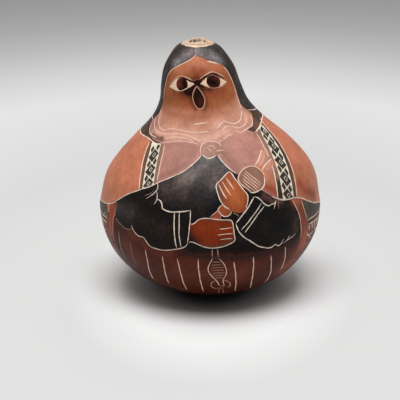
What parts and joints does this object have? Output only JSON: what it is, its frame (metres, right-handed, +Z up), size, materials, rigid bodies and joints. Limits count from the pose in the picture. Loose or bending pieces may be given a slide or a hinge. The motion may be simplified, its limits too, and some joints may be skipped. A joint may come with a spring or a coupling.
{
  "type": "gourd rattle",
  "caption": "Hand-held rattle made of one whole dried gourd with a short leaning neck, closed by its own stem stub, with loose dry seeds inside.",
  "frame": {"origin": "middle of the sanded flat that the gourd stands on", "axes": "+Z up along the gourd, from the belly to the neck; -Y out of the decorated front; the neck leans to -X"},
  "size_m": [0.09, 0.09, 0.1026],
  "materials": {
    "gourd_skin": "dried gourd skin, dyed red-brown, scorched and burnished to a satin gloss, with fine engraved lines that show the pale wood",
    "stem_wood": "bare dry stem wood, matt and fibrous",
    "seed_coat": "dry seed coat, matt"
  },
  "bodies": {
    "gourd": {"gourd_shell": "gourd_skin", "stem_stub": "stem_wood"},
    "seed_01": {"seed_01": "seed_coat"},
    "seed_02": {"seed_02": "seed_coat"},
    "seed_03": {"seed_03": "seed_coat"},
    "seed_04": {"seed_04": "seed_coat"},
    "seed_05": {"seed_05": "seed_coat"},
    "seed_06": {"seed_06": "seed_coat"},
    "seed_07": {"seed_07": "seed_coat"},
    "seed_08": {"seed_08": "seed_coat"},
    "seed_09": {"seed_09": "seed_coat"},
    "seed_10": {"seed_10": "seed_coat"},
    "seed_11": {"seed_11": "seed_coat"},
    "seed_12": {"seed_12": "seed_coat"},
    "seed_13": {"seed_13": "seed_coat"},
    "seed_14": {"seed_14": "seed_coat"},
    "seed_15": {"seed_15": "seed_coat"},
    "seed_16": {"seed_16": "seed_coat"},
    "seed_17": {"seed_17": "seed_coat"},
    "seed_18": {"seed_18": "seed_coat"},
    "seed_19": {"seed_19": "seed_coat"},
    "seed_20": {"seed_20": "seed_coat"},
    "seed_21": {"seed_21": "seed_coat"},
    "seed_22": {"seed_22": "seed_coat"},
    "seed_23": {"seed_23": "seed_coat"},
    "seed_24": {"seed_24": "seed_coat"}
  },
  "joints": [
    {"name": "seed_01_rattle", "type": "slide", "parent": "gourd", "child": "seed_01", "axis": [0, 0, 1], "range_m": [0, 0.088]},
    {"name": "seed_02_rattle", "type": "slide", "parent": "gourd", "child": "seed_02", "axis": [0, 0, 1], "range_m": [0, 0.073]},
    {"name": "seed_03_rattle", "type": "slide", "parent": "gourd", "child": "seed_03", "axis": [0, 0, 1], "range_m": [0, 0.073]},
    {"name": "seed_04_rattle", "type": "slide", "parent": "gourd", "child": "seed_04", "axis": [0, 0, 1], "range_m": [0, 0.073]},
    {"name": "seed_05_rattle", "type": "slide", "parent": "gourd", "child": "seed_05", "axis": [0, 0, 1], "range_m": [0, 0.073]},
    {"name": "seed_06_rattle", "type": "slide", "parent": "gourd", "child": "seed_06", "axis": [0, 0, 1], "range_m": [0, 0.073]},
    {"name": "seed_07_rattle", "type": "slide", "parent": "gourd", "child": "seed_07", "axis": [0, 0, 1], "range_m": [0, 0.063]},
    {"name": "seed_08_rattle", "type": "slide", "parent": "gourd", "child": "seed_08", "axis": [0, 0, 1], "range_m": [0, 0.063]},
    {"name": "seed_09_rattle", "type": "slide", "parent": "gourd", "child": "seed_09", "axis": [0, 0, 1], "range_m": [0, 0.063]},
    {"name": "seed_10_rattle", "type": "slide", "parent": "gourd", "child": "seed_10", "axis": [0, 0, 1], "range_m": [0, 0.063]},
    {"name": "seed_11_rattle", "type": "slide", "parent": "gourd", "child": "seed_11", "axis": [0, 0, 1], "range_m": [0, 0.063]},
    {"name": "seed_12_rattle", "type": "slide", "parent": "gourd", "child": "seed_12", "axis": [0, 0, 1], "range_m": [0, 0.063]},
    {"name": "seed_13_rattle", "type": "slide", "parent": "gourd", "child": "seed_13", "axis": [0, 0, 1], "range_m": [0, 0.063]},
    {"name": "seed_14_rattle", "type": "slide", "parent": "gourd", "child": "seed_14", "axis": [0, 0, 1], "range_m": [0, 0.063]},
    {"name": "seed_15_rattle", "type": "slide", "parent": "gourd", "child": "seed_15", "axis": [0, 0, 1], "range_m": [0, 0.054]},
    {"name": "seed_16_rattle", "type": "slide", "parent": "gourd", "child": "seed_16", "axis": [0, 0, 1], "range_m": [0, 0.054]},
    {"name": "seed_17_rattle", "type": "slide", "parent": "gourd", "child": "seed_17", "axis": [0, 0, 1], "range_m": [0, 0.054]},
    {"name": "seed_18_rattle", "type": "slide", "parent": "gourd", "child": "seed_18", "axis": [0, 0, 1], "range_m": [0, 0.054]},
    {"name": "seed_19_rattle", "type": "slide", "parent": "gourd", "child": "seed_19", "axis": [0, 0, 1], "range_m": [0, 0.054]},
    {"name": "seed_20_rattle", "type": "slide", "parent": "gourd", "child": "seed_20", "axis": [0, 0, 1], "range_m": [0, 0.054]},
    {"name": "seed_21_rattle", "type": "slide", "parent": "gourd", "child": "seed_21", "axis": [0, 0, 1], "range_m": [0, 0.054]},
    {"name": "seed_22_rattle", "type": "slide", "parent": "gourd", "child": "seed_22", "axis": [0, 0, 1], "range_m": [0, 0.054]},
    {"name": "seed_23_rattle", "type": "slide", "parent": "gourd", "child": "seed_23", "axis": [0, 0, 1], "range_m": [0, 0.054]},
    {"name": "seed_24_rattle", "type": "slide", "parent": "gourd", "child": "seed_24", "axis": [0, 0, 1], "range_m": [0, 0.054]}
  ]
}
